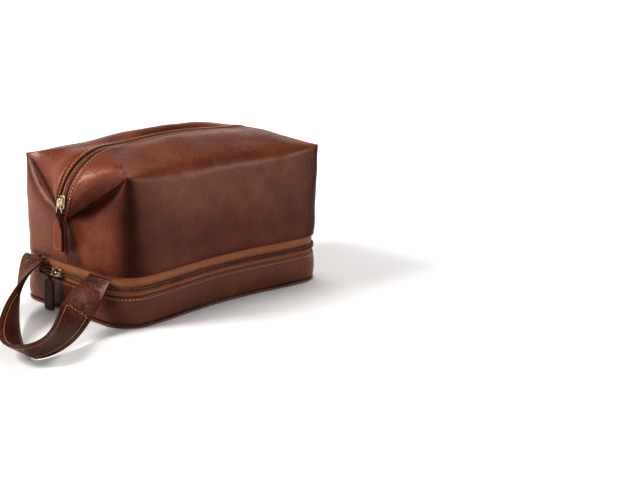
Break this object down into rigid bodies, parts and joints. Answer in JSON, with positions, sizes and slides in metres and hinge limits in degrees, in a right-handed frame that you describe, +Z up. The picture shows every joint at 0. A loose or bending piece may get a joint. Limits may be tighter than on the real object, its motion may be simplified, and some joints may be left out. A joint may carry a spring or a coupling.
{
  "type": "toiletry bag",
  "caption": "Leather toiletry bag: domed zip-top compartment over a zip-round bottom tray, with a carrying loop at one end.",
  "frame": {"origin": "middle of the flat base, on the surface that the bag stands on", "axes": "+Z up; X along the bag's length, the loop and both closed sliders at -X; -Y is the front"},
  "size_m": [0.3745, 0.1694, 0.147],
  "materials": {
    "brown_leather": "polished chestnut cowhide with a fine grain",
    "pull_leather": "darker folded leather, edge-inked",
    "lining_cloth": "plain woven lining",
    "zip_tape": "herringbone zip tape",
    "zip_coil": "moulded nylon coil",
    "grey_board": "stiffening board",
    "slider_metal": "antique nickel-brass plate, rubbed"
  },
  "bodies": {
    "tray": {"base_panel": "brown_leather", "base_board": "grey_board", "base_piping": "brown_leather", "tray_wall": "brown_leather", "tray_lining": "lining_cloth", "tray_zip_tape": "zip_tape", "tray_zip_coil": "zip_coil", "tray_hinge_strip": "brown_leather"},
    "upper_bag": {"body_zip_tape": "zip_tape", "body_zip_coil": "zip_coil", "body_hinge_strip": "brown_leather", "seam_welt": "brown_leather", "front_wall": "brown_leather", "back_wall": "brown_leather", "upper_lining": "lining_cloth", "divider_board": "grey_board", "divider_lining": "lining_cloth", "left_end_top": "brown_leather", "right_end_top": "brown_leather", "top_zip_end_tapes": "zip_tape", "top_zip_end_coils": "zip_coil", "left_zip_end_tab": "pull_leather", "right_zip_end_tab": "pull_leather"},
    "front_flap": {"front_top_panel": "brown_leather", "front_zip_tape": "zip_tape", "front_zip_coil": "zip_coil"},
    "back_flap": {"back_top_panel": "brown_leather", "back_zip_tape": "zip_tape", "back_zip_coil": "zip_coil"},
    "top_slider": {"top_slider": "slider_metal"},
    "top_ring": {"top_pull_ring": "slider_metal"},
    "top_pull": {"top_pull_tab": "pull_leather"},
    "lower_slider": {"lower_slider": "slider_metal"},
    "lower_ring": {"lower_pull_ring": "slider_metal"},
    "lower_pull": {"lower_pull_tab": "pull_leather"},
    "carry_loop": {"carry_strap": "brown_leather", "carry_strap_lining": "pull_leather"}
  },
  "joints": [
    {"name": "tray_hinge", "type": "hinge", "parent": "tray", "child": "upper_bag", "pos_m": [0, 0.0746, 0.034], "axis": [-1, 0, 0], "range_deg": [0, 100]},
    {"name": "front_mouth", "type": "hinge", "parent": "upper_bag", "child": "front_flap", "pos_m": [0, -0.069, 0.1266], "axis": [1, 0, 0], "range_deg": [0, 50]},
    {"name": "back_mouth", "type": "hinge", "parent": "upper_bag", "child": "back_flap", "pos_m": [0, 0.069, 0.1266], "axis": [-1, 0, 0], "range_deg": [0, 50]},
    {"name": "top_slider_run", "type": "hinge", "parent": "upper_bag", "child": "top_slider", "pos_m": [-0.079, 0, 0.09], "axis": [0, 1, 0], "range_deg": [0, 68]},
    {"name": "top_ring_swing", "type": "hinge", "parent": "top_slider", "child": "top_ring", "pos_m": [-0.1348, 0, 0.09784], "axis": [0, 1, 0], "range_deg": [0, 110]},
    {"name": "top_pull_swing", "type": "hinge", "parent": "top_ring", "child": "top_pull", "pos_m": [-0.1348, 0, 0.09124], "axis": [0, 1, 0], "range_deg": [0, 60]},
    {"name": "lower_slider_run", "type": "slide", "parent": "tray", "child": "lower_slider", "axis": [0, -1, 0], "range_m": [0, 0.04]},
    {"name": "lower_ring_swing", "type": "hinge", "parent": "lower_slider", "child": "lower_ring", "pos_m": [-0.12815, 0.016, 0.034], "axis": [0, 1, 0], "range_deg": [0, 20]},
    {"name": "lower_pull_swing", "type": "hinge", "parent": "lower_ring", "child": "lower_pull", "pos_m": [-0.13475, 0.016, 0.034], "axis": [0, 1, 0], "range_deg": [-8, 20]},
    {"name": "loop_swing", "type": "hinge", "parent": "upper_bag", "child": "carry_loop", "pos_m": [-0.1264, 0, 0.0428], "axis": [0, 1, 0], "range_deg": [0, 50]}
  ]
}
